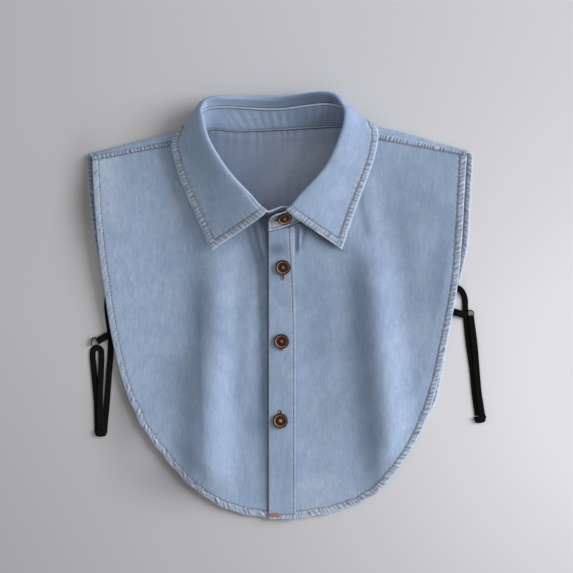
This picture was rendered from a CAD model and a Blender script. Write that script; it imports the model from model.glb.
import math

import bpy
import numpy as np
from mathutils import Matrix, Vector
from mathutils.bvhtree import BVHTree


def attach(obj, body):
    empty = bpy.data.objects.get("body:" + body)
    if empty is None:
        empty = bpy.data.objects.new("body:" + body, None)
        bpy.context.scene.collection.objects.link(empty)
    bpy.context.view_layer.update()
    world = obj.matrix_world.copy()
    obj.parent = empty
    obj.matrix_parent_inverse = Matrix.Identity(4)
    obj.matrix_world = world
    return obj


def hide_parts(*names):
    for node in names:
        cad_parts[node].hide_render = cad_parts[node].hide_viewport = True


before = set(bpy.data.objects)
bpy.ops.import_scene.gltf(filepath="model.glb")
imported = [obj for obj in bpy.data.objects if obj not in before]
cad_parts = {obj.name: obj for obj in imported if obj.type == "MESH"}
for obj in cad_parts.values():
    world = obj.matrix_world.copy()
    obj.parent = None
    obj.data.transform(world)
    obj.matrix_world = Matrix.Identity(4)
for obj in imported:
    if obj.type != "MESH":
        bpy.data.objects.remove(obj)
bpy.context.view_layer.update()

MM = 0.001

# Driving sizes, the same as the CAD model's.
CLOTH = 1.0
HEM = 1.4
HEM_WIDTH = 7.0
BAND = 1.4
PLACKET = 1.5
GAP = 0.4
NECK_GAP = 1.0
STRAP = 1.0
STRAP_WIDTH = 5.8
BUTTON_RADIUS = 7.2
BUTTON_HEIGHT = 2.6

# The ring of the collar, from the left end under the button to the right end over it:
# neck seam, top of the fold, outer edge of the fall, level run past the fold, level run at the edge.
RING = [
    ((8, 83, 17), (8, 96, 36.5), (-60, 58.7, 23), 5, 0.4),
    ((-9, 85, 18), (-11.8, 91.2, 39), (-64.3, 53, 23), 5, 0.4),
    ((-32, 89, 20), (-30, 109, 39.5), (-76.6, 79, 23), 6, 0.45),
    ((-54, 104, 21), (-45.6, 125.8, 38.5), (-87.4, 103, 22), 7, 0.5),
    ((-70, 130, 18.5), (-58, 143, 37), (-96, 124, 20.5), 8, 0.5),
    ((-79, 150, 14), (-67, 159, 35), (-101, 141.5, 18.5), 9, 0.55),
    ((-78, 162, 10), (-72.5, 176, 32), (-103.3, 156.5, 15.5), 9, 0.6),
    ((-66, 169.2, 8), (-75, 191, 28), (-94, 168.4, 9.8), 9, 0.75),
    ((-42, 167.4, 6.5), (-62, 200, 25), (-66, 170.8, 1.4), 9, 1.08),
    ((0, 168.9, 6), (-5, 199.4, 23), (-2, 165, 1.2), 10, 1.1),
    ((42, 171.3, 6.5), (46, 204, 25), (58, 171, 1.4), 9, 1.08),
    ((68, 172.3, 8), (60.5, 192.5, 28), (90, 172.9, 9.6), 8, 0.75),
    ((77, 166.5, 10), (62, 178, 32), (94.6, 162, 15), 9, 0.6),
    ((76, 152, 14), (57, 161, 35), (92, 145, 18.5), 9, 0.55),
    ((66, 130, 18.5), (49, 142, 37), (85.1, 124, 20.5), 8, 0.5),
    ((50, 104, 23), (38, 125.8, 38.5), (77.1, 103, 22), 7, 0.5),
    ((29, 86, 25.5), (22, 109, 40.5), (68.4, 79, 23), 6, 0.45),
    ((6, 76, 28), (6.2, 92, 43), (60, 54.2, 24), 5, 0.4),
    ((-10.6, 71.5, 29), (-10.3, 89.5, 41), (60, 54.2, 24), 5, 0.4),
]
LAST_ROW = len(RING) - 1
FALL_START = 1
FALL_END = LAST_ROW - 1
NECK_CENTRE = np.array([-5.0, 140.0, 22.0])
RISE_FRONT = 1.6
RISE_BACK = 11.5
ROLL_SHARE = 0.22

# Outer edges of the panels, from the shoulder tip round the armhole to the hem, with heights.
SHOULDER_HEIGHT = 5.5
LEFT_FRONT_EDGE = [
    (-180, 142.5, SHOULDER_HEIGHT),
    (-177.6, 100, 9),
    (-173.6, 55, 9),
    (-167.8, 13.4, 7.5),
    (-160.8, -30.7, 5.5),
    (-149.3, -76.8, 4.2),
    (-134, -112, 4.2),
    (-117.4, -136.6, 4.6),
    (-85.2, -172.8, 4.6),
    (-49.8, -195.2, 3.8),
    (-10, -203.8, 2.3),
    (8, -204.2, 2.3),
]
RIGHT_FRONT_EDGE = [
    (179.8, 146, SHOULDER_HEIGHT),
    (177.3, 105, 8.5),
    (175.1, 65, 8.5),
    (170.7, 18.7, 7),
    (162.5, -26, 5),
    (151.5, -76, 4),
    (139.5, -112, 3.4),
    (121, -146, 3),
    (92, -180, 2.6),
    (54, -197.5, 2.4),
    (20, -203.5, 2.3),
    (11.4, -204.2, 2.3),
]
FLOOR_LEVEL = CLOTH / 2
LEFT_BOW = 6.6
RIGHT_BOW = 6.4
BOW_PEAK = 0.48
BACK_HEM = [  # x and y of the part that lies on the floor
    (-185, 136), (-182, 100), (-176, 55), (-164.5, 12), (-155, -32), (-146, -78), (-116.8, -134.4),
    (-84, -170), (-49, -193), (0, -202), (53, -195.5), (91, -178), (121, -143), (146, -100),
    (153.6, -76), (162, -30), (172.6, 22), (180.3, 58), (183, 100), (185.2, 137),
]
BACK_EDGE = [
    (-180, 143.2, SHOULDER_HEIGHT),
    (-184.6, 144.6, 3),
    *((x, y, FLOOR_LEVEL) for x, y in BACK_HEM),
    (184, 147, 3),
    (179.8, 146.7, SHOULDER_HEIGHT),
]
LEFT_SHOULDER_ROW = 6
RIGHT_SHOULDER_ROW = 12
SEAM_ROWS = 0.12
NECK_END_LEFT = 0
NECK_END_RIGHT = 16.8

# Soft folds of the fronts: start and end of the crest, half width, height.
FOLDS = [
    ((-58, 86), (-67, -201), 18, 6.5),
    ((-26, 63), (-33, -109), 10, 2.4),
    ((-106, 90), (-105, -144), 22, -1.1),
    ((-75, -19), (-85, -192), 20, 5),
    ((90, 89), (110, -189), 20, 6.5),
    ((29, 63), (29, -199), 16, -1.1),
    ((156, 78), (148, -97), 22, 3),
    ((81, 90), (105, -153), 20, 5.5),
    ((127, 100), (131, -46), 14, 2.5),
]
FOLD_FADE = 0.3
FOLD_OVERRUN = 0.1
LEFT_DROP = 2.2
RIGHT_DROP = 1.9
BACK_DROP = 2.5
BACK_RISE_SHARE = 0.3

PLACKET_TOP = 73.0
PLACKET_BOTTOM = -204.6
PLACKET_LEFT = -10.4
PLACKET_RIGHT = 15.6
PLACKET_TAPER = 1.4
PLACKET_TAPER_FROM = 60.0
PLACKET_TAPER_RUN = 80.0
PLACKET_SLANT = 0.22
PLACKET_TOP_HEIGHT = 28.8
PLACKET_HEM_HEIGHT = 4.6
PLACKET_DROP = 1.9

# Fineness of the meshes.
STEP = 1.15  # along an edge
LIP = 0.9  # how far in from an edge its rounding reaches
LIP_STEPS = (0.0, 0.1, 0.38, LIP)
STITCH_INSET = 0.8  # how far outside a hem's inner line its stitches are
REVERSE_SHIFT = (700.0, 0, 40)  # sets the pattern of an underside apart from its top's
BACK_HEM_WIDTH = 6.2
NECK_SEAM_Y = 167


def unit(v):
    return v / np.maximum(np.linalg.norm(v, axis=-1, keepdims=True), 1e-12)


def clamp(x):
    return np.clip(x, 0, 1)


def smooth(x):
    x = clamp(x)
    return x * x * (3 - 2 * x)


def bump(x, width):
    return np.exp(-((x / width) ** 2))


def waves(s, length, seed, count=4):
    """A smooth irregular wave of s between about -1 and 1, with the given mean wavelength."""
    chance = np.random.default_rng(seed)
    total = np.zeros_like(np.asarray(s, float))
    for _ in range(count):
        rate = 2 * math.pi / (length * chance.uniform(0.6, 1.7))
        total = total + np.sin(s * rate + chance.uniform(0, 2 * math.pi))
    return total / math.sqrt(2 * count)


def ripples(s, period, length, seed):
    """Uneven ripples of s from 0 to 1."""
    return 0.5 + 0.5 * np.sin(2 * math.pi * (s / period + 0.5 * waves(s, length, seed)))


def spread(values, columns):
    """One value for each row, repeated in every column."""
    return np.repeat(values[:, None], columns, axis=1)


def to_ends(s):
    """How far each row is from the nearer end."""
    return np.minimum(s, s[-1] - s)[:, None]


def along_line(places, travelled, values):
    """Points of a line, or its normals, at the given distances along it."""
    return np.stack([np.interp(places, travelled, values[:, k]) for k in range(3)], axis=-1)


def with_ends(points):
    """The points, and the points with one more past each end."""
    pts = np.array(points, float)
    return pts, np.vstack([2 * pts[0] - pts[1], pts, 2 * pts[-1] - pts[-2]])


def hermite(t, start, end, leave, arrive):
    return (
        (2 * t**3 - 3 * t**2 + 1) * start
        + (t**3 - 2 * t**2 + t) * leave
        + (3 * t**2 - 2 * t**3) * end
        + (t**3 - t**2) * arrive
    )


def through(points):
    """The same uniform Catmull-Rom curve as the CAD model's, by row number."""
    pts, ext = with_ends(points)

    def at(row):
        row = np.asarray(row, float)
        low = np.clip(np.floor(row).astype(int), 0, len(pts) - 2)
        before, start, end, after = (ext[low + k] for k in range(4))
        return hermite((row - low)[..., None], start, end, 0.5 * (end - before), 0.5 * (after - start))

    return at


seam_at = through([row[0] for row in RING])
roll_at = through([row[1] for row in RING])
edge_at = through([row[2] for row in RING])


def number_at(column, row):
    return np.interp(row, range(len(RING)), [r[column] for r in RING])


def backness(row):
    middle = LAST_ROW / 2
    return 1 - smooth((np.abs(row - middle) / middle - 0.08) / 0.24)


def stand_up(row):
    return unit(roll_at(row) - seam_at(row))


def stand_top(row):
    rise = RISE_FRONT + (RISE_BACK - RISE_FRONT) * backness(row)
    return roll_at(row) - stand_up(row) * rise[..., None]


def bezier(a, b, c, d, t):
    t = t[..., None]
    return (1 - t) ** 3 * a + 3 * (1 - t) ** 2 * t * b + 3 * (1 - t) * t**2 * c + t**3 * d


def fall_point(row, share):
    """Up from the stand, over the roll and down to the outer edge of the fall."""
    up = stand_up(row)
    roll = roll_at(row)
    edge = edge_at(row)
    start = stand_top(row) + up * GAP
    out = roll - NECK_CENTRE
    out = unit(out - up * np.sum(out * up, axis=-1, keepdims=True))
    reach = np.linalg.norm(roll - start, axis=-1, keepdims=True)
    rising = bezier(
        start,
        start + up * reach * 0.5,
        roll - out * reach * 0.35,
        roll,
        clamp(share / ROLL_SHARE),
    )
    lay = number_at(4, row)[..., None]
    past = roll + out * number_at(3, row)[..., None]
    before = edge + (roll - edge) * lay
    level = edge[..., 2:] + (roll[..., 2:] - edge[..., 2:]) * np.maximum(0, 1 - lay) * lay
    before = np.concatenate([before[..., :2], level], axis=-1)
    falling = bezier(roll, past, before, edge, clamp((share - ROLL_SHARE) / (1 - ROLL_SHARE)))
    return np.where((share < ROLL_SHARE)[..., None], rising, falling)


def fold_height(x, y):
    height = np.zeros_like(x)
    for (x0, y0), (x1, y1), width, rise in FOLDS:
        along = (y - y0) / (y1 - y0)
        fade = smooth(along / FOLD_FADE) * smooth((1 + FOLD_OVERRUN - along) / FOLD_FADE)
        off = (x - (x0 + (x1 - x0) * along)) / width
        height += rise * fade * np.exp(-off * off)
    return height


def front_height(neck, edge, share, x, y, drop):
    height = edge[..., 2] + (neck[..., 2] - edge[..., 2]) * (1 - share) ** drop
    room = clamp(np.minimum(share, 1 - share) / 0.1)
    return height + fold_height(x, y) * room


def back_height(neck, edge, share):
    lift = clamp(1 - share / BACK_RISE_SHARE) ** BACK_DROP
    flat = clamp((edge[..., 2] - FLOOR_LEVEL) / (SHOULDER_HEIGHT - FLOOR_LEVEL))
    line = edge[..., 2] + (neck[..., 2] - edge[..., 2]) * (1 - share)
    height = flat * line + (1 - flat) * (FLOOR_LEVEL + (neck[..., 2] - FLOOR_LEVEL) * lift)
    return np.maximum(height, FLOOR_LEVEL)


def placket_height(y):
    share = clamp((PLACKET_TOP - y) / (PLACKET_TOP - PLACKET_BOTTOM))
    return PLACKET_HEM_HEIGHT + (PLACKET_TOP_HEIGHT - PLACKET_HEM_HEIGHT) * (1 - share) ** PLACKET_DROP


def placket_right(y):
    return PLACKET_RIGHT - PLACKET_TAPER * (1 - smooth((PLACKET_TAPER_FROM - y) / PLACKET_TAPER_RUN))


def normals_of(grid):
    along = np.gradient(grid, axis=0)
    across = np.gradient(grid, axis=1)
    return unit(np.cross(along, across))


class Sheet:
    """A middle surface as a grid of points, with what lies on it. s is how far along the piece
    each row is, and width is how wide the hem is there."""

    def __init__(self, grid, half, cloth, s, width=0.0):
        self.grid = grid
        self.normal = normals_of(grid)
        self.above = half.copy()
        self.below = half.copy()
        self.wear = np.zeros(half.shape)
        self.shade = np.zeros(half.shape)
        self.cloth = cloth
        self.s = s
        self.width = width + np.zeros(len(s))
        self.inside = (0.0, 0.0)  # how much the top and the underside show the cloth's wrong side

    def face_up(self, i, j):
        """Turns the normals over if the one at this place looks down."""
        if self.normal[i, j, 2] < 0:
            self.normal = -self.normal

    def top(self):
        return off_floor(self.grid + self.normal * self.above[..., None])

    def underside(self):
        return off_floor(self.grid - self.normal * self.below[..., None])

    def area(self):
        """Square metres of cloth."""
        along = np.diff(self.grid, axis=0)[:, :-1]
        across = np.diff(self.grid, axis=1)[:-1]
        return float(np.linalg.norm(np.cross(along, across), axis=-1).sum()) * MM * MM

    def path(self, i, j, side=1):
        """Points and normals on a face, at fractional places of the grid."""
        face = self.top() if side > 0 else self.underside()
        return grid_at(face, i, j), unit(grid_at(self.normal * side, i, j))


def off_floor(points):
    points[..., 2] = np.maximum(points[..., 2], 0.02)
    return points


def grid_at(grid, i, j):
    i = np.clip(np.asarray(i, float), 0, grid.shape[0] - 1.001)
    j = np.clip(np.asarray(j, float), 0, grid.shape[1] - 1.001)
    low_i = np.floor(i).astype(int)
    low_j = np.floor(j).astype(int)
    a = (i - low_i)[:, None]
    b = (j - low_j)[:, None]
    return (
        grid[low_i, low_j] * (1 - a) * (1 - b)
        + grid[low_i + 1, low_j] * a * (1 - b)
        + grid[low_i, low_j + 1] * (1 - a) * b
        + grid[low_i + 1, low_j + 1] * a * b
    )


def lip(distance, radius=LIP):
    """How full the thickness is at a distance from an edge, for a rounded edge."""
    x = 1 - clamp(distance / radius)
    return np.sqrt(np.clip(1 - x * x, 0.02, 1))


def add_object(name, data):
    piece = bpy.data.objects.new(name, data)
    bpy.context.scene.collection.objects.link(piece)
    return piece


def new_object(name, vertices, faces):
    mesh = bpy.data.meshes.new(name)
    mesh.from_pydata((np.asarray(vertices) * MM).tolist(), [], faces)
    mesh.validate()
    mesh.shade_smooth()
    return add_object(name, mesh)


def set_attribute(piece, name, kind, values):
    layer = piece.data.attributes.new(name, kind, "POINT")
    field = "value" if kind == "FLOAT" else "vector"
    layer.data.foreach_set(field, np.asarray(values, np.float32).ravel())


def quads(a, b, c, d):
    return np.stack([a, b, c, d], axis=-1).reshape(-1, 4)


def numbered(sheet, first=0):
    """The numbers of a grid's points, and the faces between them."""
    rows, columns = sheet.grid.shape[:2]
    ids = np.arange(rows * columns).reshape(rows, columns) + first
    return ids, quads(ids[:-1, :-1], ids[1:, :-1], ids[1:, 1:], ids[:-1, 1:])


def build_sheet(name, sheet):
    ids, top_faces = numbered(sheet)
    under = ids + ids.size
    faces = np.vstack([
        top_faces,
        quads(under[:-1, :-1], under[:-1, 1:], under[1:, 1:], under[1:, :-1]),
        quads(ids[:-1, 0], under[:-1, 0], under[1:, 0], ids[1:, 0]),
        quads(ids[1:, -1], under[1:, -1], under[:-1, -1], ids[:-1, -1]),
        quads(ids[0, 1:], under[0, 1:], under[0, :-1], ids[0, :-1]),
        quads(ids[-1, :-1], under[-1, :-1], under[-1, 1:], ids[-1, 1:]),
    ])
    vertices = np.vstack([sheet.top().reshape(-1, 3), sheet.underside().reshape(-1, 3)])
    piece = new_object(name, vertices, faces.tolist())
    for attribute in ("wear", "shade"):
        values = getattr(sheet, attribute).ravel()
        set_attribute(piece, attribute, "FLOAT", np.concatenate([values, values]))
    set_attribute(piece, "inside", "FLOAT", np.repeat(sheet.inside, ids.size))
    cloth = np.concatenate([sheet.cloth, np.zeros((*ids.shape, 1))], axis=-1).reshape(-1, 3)
    reverse = cloth + np.array(REVERSE_SHIFT)
    set_attribute(piece, "cloth", "FLOAT_VECTOR", np.vstack([cloth, reverse]) * MM)
    return piece


def lengths(points):
    steps = np.linalg.norm(np.diff(points, axis=0), axis=1)
    return np.concatenate([[0], np.cumsum(steps)])


def spaced(total, step):
    """Distances from 0 to total, close together at both ends for their rounding."""
    inner = np.linspace(LIP, total - LIP, max(2, int(round((total - 2 * LIP) / step)) + 1))
    return np.concatenate([LIP_STEPS[:-1], inner, total - np.array(LIP_STEPS[-2::-1])])


# The roped hem: slanting ridges between the stitches and the edge.
def rope(s, share, seed, period=4.2, slant=0.55):
    """Ridges from 0 to 1, and how strongly the hem is roped there. share is 0 at the stitches
    and 1 at the edge."""
    phase = s / period + slant * share + 0.45 * waves(s, 19, seed) + 0.16 * waves(s, 7, seed + 1)
    ridge = 0.5 + 0.5 * np.sin(2 * math.pi * phase)
    strength = np.clip(0.62 + 0.35 * waves(s, 41, seed + 2) + 0.4 * waves(s, 12, seed + 4), 0.08, 1.1)
    return ridge, strength * np.sin(math.pi * np.clip(share, 0.05, 0.95)) ** 0.5


def hem_relief(
    sheet, s, distance, seed, width, height, wear=0.75, both=True, roped=1.0, period=4.2, slant=0.55
):
    """Raises a hem of the given width at its edge, with stitches' dip, ridges and worn places."""
    stitch = width - STITCH_INSET
    inside = smooth((width - distance) / 0.7)
    share = clamp(1 - distance / stitch)
    ridge, strength = rope(s, share, seed, period, slant)
    strength = strength * inside * roped
    dip = bump(distance - stitch, 0.75)
    pull = ripples(s, 5.6, 37, seed + 5)
    pull_strength = np.clip(0.55 + 0.5 * waves(s, 53, seed + 9), 0.1, 1)
    past = np.clip(distance - stitch, 0, None)
    beyond = clamp(past / 1.2) * np.exp(-past / 3.2) * pull_strength
    rise = inside * (HEM - CLOTH) * 0.9 + ridge * strength * height - dip * 0.4 + beyond * pull * 0.4
    rise = rise * lip(distance, 1.6)
    sheet.above += rise
    if both:
        sheet.below += inside * 0.1 + ridge * strength * height * 0.3
    edge_wear = bump(distance, 0.9) * (0.75 + 0.25 * waves(s, 9, seed + 7))
    worn = edge_wear * 0.8 + ridge**2 * strength * wear * 0.85 + inside * wear * 0.3 + beyond * pull * 0.3
    worn += bump(distance - stitch - 1.2, 0.5) * 0.32 * (0.7 + 0.3 * waves(s, 15, seed + 11))
    sheet.wear = np.maximum(sheet.wear, clamp(worn))
    valley = (1 - ridge) ** 2.8 * strength * (1 - bump(distance, 0.9))
    hollow = valley * 2 + dip * 0.72 + beyond * (1 - pull) ** 2 * 0.35
    sheet.shade = np.maximum(sheet.shade, clamp(hollow))


# Panels.
END_TURN = 16.0  # over this length from its ends a hem's width turns to lie along the seam there
NEAR_LINE = 12.0  # beside the hem's inner line the columns are close together over this length


def panel_inward(edge_curve, travelled, fine, s, spoke):
    """The level direction into a panel from its edge. spoke leads from the edge to the neck."""
    total = travelled[-1]
    ahead = edge_curve(np.interp(np.clip(s + 5, 0, total), travelled, fine))
    behind = edge_curve(np.interp(np.clip(s - 5, 0, total), travelled, fine))
    tangent = unit((ahead - behind)[:, :2])
    inward = np.stack([-tangent[:, 1], tangent[:, 0]], axis=-1)
    inward *= np.sign(np.sum(inward * spoke, axis=-1, keepdims=True))
    near_end = smooth((END_TURN - to_ends(s)) / END_TURN * 1.6)
    return unit(inward * (1 - near_end) + unit(spoke) * near_end)


def panel_columns(run, width, columns, crowding):
    """Distances of the columns from the neck up to the hem's inner line, and of those past it."""
    inner = np.linspace(0, 1, columns)[None, :] ** crowding * (run - NEAR_LINE)
    close = run - NEAR_LINE + np.linspace(0, NEAR_LINE, 9)[None, 1:]
    band = np.linspace(0, 1, 9)[None, 1:-1] * (width - LIP)
    ending = width - np.array(LIP_STEPS[::-1])[None, :]
    return np.concatenate([inner, close], axis=1), np.concatenate([band, ending], axis=1)


def panel_sheet(
    outline, neck_row, height_at, width_at, seed, step=STEP, bow_at=None, roped_at=np.ones_like, slant=0.55,
    uneven=0.0, columns=40, crowding=1.0,
):
    edge_curve = through(outline)
    last = len(outline) - 1
    fine = np.linspace(0, last, 6000)
    travelled = lengths(edge_curve(fine))
    total = travelled[-1]
    s = spaced(total, step)
    t = np.interp(s, travelled, fine)
    edge = edge_curve(t)
    rows = neck_row(t / last)
    neck = seam_at(rows) - stand_up(rows) * NECK_GAP

    inward = panel_inward(edge_curve, travelled, fine, s, (neck - edge)[:, :2])
    low_part = smooth((s - 200) / 60) * smooth((total - s) / 30)
    edge[:, :2] += inward * (uneven * waves(s, 25, seed + 8) * low_part)[:, None]
    width = width_at(s)[:, None]
    hem_line = edge[:, :2] + inward * width
    spoke = hem_line - neck[:, :2]
    run = np.linalg.norm(spoke, axis=-1)[:, None]
    to_line, past_line = panel_columns(run, width, columns, crowding)

    inner_xy = neck[:, None, :2] + spoke[:, None, :] * (to_line / run)[..., None]
    band_xy = hem_line[:, None, :] - inward[:, None, :] * past_line[..., None]
    xy = np.concatenate([inner_xy, band_xy], axis=1)
    share = np.concatenate([to_line, run + past_line], axis=1) / (run + width)
    if bow_at is not None:
        xy[..., 1] += bow_at(t / last)[:, None] * np.sin(math.pi * clamp(share) ** BOW_PEAK)
    height = height_at(neck[:, None, :], edge[:, None, :], share, xy[..., 0], xy[..., 1])
    grid = np.concatenate([xy, height[..., None]], axis=-1)

    distance = np.concatenate([width + (run - to_line), width - past_line], axis=1)
    half = np.full(share.shape, CLOTH / 2) * lip(distance) * lip(to_ends(s))
    sheet = Sheet(grid, half, xy.copy(), s, width[:, 0])
    sheet.face_up(len(s) // 2, 20)
    roped = roped_at(s)[:, None]
    along = spread(s, share.shape[1])
    hem_relief(sheet, along, distance, seed, width, 0.75, wear=0.68, roped=roped, slant=slant)
    sheet.line_column = to_line.shape[1] - 1
    return sheet


def upright(sheet):
    """The grid in the order whose faces agree with its normals."""
    if np.sum(normals_of(sheet.grid) * sheet.normal) < 0:
        for name in ("grid", "normal", "above", "below", "wear", "shade", "cloth", "s", "width"):
            setattr(sheet, name, getattr(sheet, name)[::-1])
    return sheet


# Darker streaks of the cloth: start, end, half width, and how dark they are, or how pale where negative.
LEFT_STREAKS = [
    ((-76, 42), (-86, -157), 11, 0.33),
    ((-77.5, 10), (-74.5, -150), 3.2, 0.22),
    ((-28, 68), (-28, -4), 4, 0.12),
    ((-98, 105), (-104, 60), 8, -0.16),
    ((-19.5, 74), (-14, 50), 2.0, -0.5),
    ((-24, 77), (-15.5, 42), 1.9, 0.65),
    ((-31, 74), (-20, 40), 2.2, 0.35),
    ((-33, -71), (-33, -185), 9, 0.16),
    ((-23, -38), (-24, -122), 8, 0.36),
    ((-17, -71), (-17, -191), 4, 0.36),
    ((-166, 150), (-160, 78), 14, -0.4),
]
RIGHT_STREAKS = [
    ((76, 52), (91, -188), 12.5, 0.31),
    ((89, 122), (97, 66), 5, -0.2),
    ((92, -145), (95, -200), 10, 0.22),
    ((76, 110), (85, 68), 4.6, 0.42),
    ((12, 86), (58, 54), 4, 1.4),
    ((17.2, 78), (16.4, 50), 1.3, 0.6),
    ((100, 125), (58, -105), 22, 0.14),
    ((36, -165), (33, -203), 24, -0.35),
    ((34, 63), (34, -52), 26, 0.27),
    ((35, -70), (35, -175), 7, -0.14),
    ((130, 152), (140, -23), 34, 0.24),
    ((160, 63), (150, -62), 9, 0.24),
    ((25.5, 77), (20, 54), 2.3, 0.6),
]
SMALL_RIDGES = [((20.2, 80), (18.5, 54), 1.9, 2.0), ((-20, 74), (-14.5, 50), 2.8, 2.0)]
STREAK_FADE = 0.3
# How far the dark hollow reaches out from the placket: y, then reach.
HOLLOW_REACH = ((-205, 40, 60, 66, 73, 80.6, 90), (1.3, 1.4, 1.6, 2.3, 4.6, 9.5, 12))


def streak_amount(sheet, start, end, width):
    (x0, y0), (x1, y1) = start, end
    x, y = sheet.grid[..., 0], sheet.grid[..., 1]
    along = (y - y0) / (y1 - y0)
    fade = smooth(along / STREAK_FADE + 0.5) * smooth((1 - along) / STREAK_FADE + 0.5)
    return fade * bump(x - (x0 + (x1 - x0) * along), width)


def streaked(sheet, streaks):
    for start, end, width, depth in streaks:
        amount = streak_amount(sheet, start, end, width) * depth
        sheet.shade = clamp(sheet.shade + np.maximum(amount, 0))
        sheet.wear = clamp(sheet.wear - np.minimum(amount, 0))
    for start, end, width, rise in SMALL_RIDGES:
        sheet.above += streak_amount(sheet, start, end, width) * rise
    return sheet


def neck_shadow(sheet):
    """The deep hollow beside the top of the placket, which narrows to a line down its side."""
    x, y = sheet.grid[..., 0], sheet.grid[..., 1]
    reach = np.interp(y, *HOLLOW_REACH)
    deep = smooth((reach - (PLACKET_LEFT - x)) / 1.7 + 0.45) * np.interp(y, (55, 75), (1, 0.8))
    sheet.shade = np.maximum(sheet.shade, deep)
    return sheet


BOTTOM_ROPE = 1.4  # how strongly the hem is roped round the bottom
HEM_WIDER = 0.8  # how much wider the hem is there
FRONT_UNEVEN = 0.55  # how far the edge of a front wanders


def front_sheet(outline, row_from, row_to, drop, seed, armhole_rope, slant):
    """armhole_rope says how strongly the hem is roped beside the arm."""
    sheet = upright(panel_sheet(
        outline,
        lambda u: row_from + (row_to - row_from) * u**0.9,
        lambda neck, edge, share, x, y: front_height(neck, edge, share, x, y, drop),
        lambda s: HEM_WIDTH + HEM_WIDER * smooth((s - 300) / 120) + 0.25 * waves(s, 60, seed),
        seed,
        roped_at=lambda s: armhole_rope + (BOTTOM_ROPE - armhole_rope) * smooth((s - 190) / 70),
        slant=slant,
        uneven=FRONT_UNEVEN,
        columns=60,
        crowding=1.35,
    ))
    sheet.inside = (0.0, 1.0)
    return sheet


def back_bow(u):
    last = len(BACK_EDGE) - 1
    left = LEFT_BOW * clamp(1 - np.abs(u * last - 1))
    return left + RIGHT_BOW * clamp(1 - np.abs((1 - u) * last - 1))


def back_rows(u):
    """Rows of the ring at which the back panel meets the neck seam."""
    first = LEFT_SHOULDER_ROW + SEAM_ROWS
    return first + (RIGHT_SHOULDER_ROW - LEFT_SHOULDER_ROW - 2 * SEAM_ROWS) * u


def back_sheet():
    sheet = upright(panel_sheet(
        BACK_EDGE,
        back_rows,
        lambda neck, edge, share, x, y: back_height(neck, edge, share),
        lambda s: np.full(len(s), BACK_HEM_WIDTH),
        31,
        step=1.4,
        bow_at=back_bow,
    ))
    sheet.inside = (1.0, 0.0)
    x, y = sheet.grid[..., 0], sheet.grid[..., 1]
    gathers = ripples(x, 10, 37, 34)
    below_seam = np.exp(-np.clip(NECK_SEAM_Y - y, 0, None) / 13) * smooth((75 - np.abs(x)) / 10)
    sheet.above += gathers * below_seam * 0.5
    in_neck = smooth((y - 70) / 20) * smooth((80 - np.abs(x)) / 8)
    lit_side = (x - 29.7) * -0.806 + (y - 165) * 0.592
    lit = smooth(lit_side / 34 + 0.4) * in_neck
    sheet.shade = np.maximum(sheet.shade, 0.42 * lit + 0.2 * (1 - gathers) * below_seam)
    sheet.wear = np.maximum(sheet.wear, 0.4 * (in_neck - lit) * smooth((160 - y) / 12))
    left_arm = smooth((-158 - x) / 6) * smooth((y - 20) / 20)
    right_arm = smooth((x - 158) / 6) * smooth((y + 20) / 20)
    sheet.shade = clamp(sheet.shade * (1 + 0.9 * left_arm) + 0.25 * left_arm)
    sheet.shade = clamp(sheet.shade + 0.24 * right_arm)
    sheet.wear = sheet.wear * (1 - 0.35 * left_arm)
    return sheet


# Stand and fall.
def to_edge(points, line):
    """Distance from each point to a line of points, in whole millimetres rounded down, and how far
    along the line that is."""
    travelled = lengths(line)
    s = np.arange(0, travelled[-1], 0.35)
    dense = along_line(s, travelled, line)
    flat = points.reshape(-1, 3)
    distance = np.zeros(len(flat), int)
    along = np.zeros(len(flat))
    for start in range(0, len(flat), 4000):
        part = flat[start : start + 4000]
        gap = np.linalg.norm(part[:, None, :] - dense[None, :, :], axis=-1)
        nearest = gap.argmin(axis=1)
        distance[start : start + 4000] = np.floor(gap[np.arange(len(part)), nearest])
        along[start : start + 4000] = s[nearest]
    return distance.reshape(points.shape[:2]), along.reshape(points.shape[:2])


def ring_rows(first, last, at):
    fine = np.linspace(first, last, 4000)
    travelled = lengths(at(fine))
    s = spaced(travelled[-1], STEP)
    return np.interp(s, travelled, fine), s


FALL_STITCH = 6.3
FALL_NEAR_EDGE = 11.0  # within this of the outer edge the columns are close together
FALL_SAMPLES = 400  # along each section, to measure it
# How dark the inner side of the fall and of the stand is at a row of the ring.
INNER_DARK = ((8.45, 8.9, 9.2, 9.7, 10.1, 10.6, 11.6, 12), (0, 0.45, 0.75, 0.95, 0.95, 0.6, 0.4, 0))
STAND_DARK = ((8.5, 8.8, 9.1, 9.4, 9.7, 10.6, 11.5, 12), (0, 0.33, 0.35, 0.6, 0.65, 0.55, 0.4, 0))


def fall_grid(rows):
    """The fall's grid, how far its places are from its start, how wide it is and where it rolls over."""
    size = len(rows)
    fine = np.linspace(0, 1, FALL_SAMPLES)
    sections = fall_point(spread(rows, FALL_SAMPLES), np.repeat(fine[None, :], size, axis=0))
    steps = np.linalg.norm(np.diff(sections, axis=1), axis=-1)
    travelled = np.concatenate([np.zeros((size, 1)), np.cumsum(steps, axis=1)], axis=1)
    total = travelled[:, -1:]
    before = np.linspace(0, 1, 48)[None, :] * (total - FALL_NEAR_EDGE)
    near_edge = np.linspace(FALL_NEAR_EDGE, LIP, 14)[1:-1]
    after = total - np.concatenate([near_edge, LIP_STEPS[::-1]])[None, :]
    places = np.concatenate([before, after], axis=1)
    share = np.stack([np.interp(places[k], travelled[k], fine) for k in range(size)])
    roll = np.array([[np.interp(ROLL_SHARE, fine, travelled[k])] for k in range(size)])
    return fall_point(spread(rows, share.shape[1]), share), places, total, roll


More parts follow.
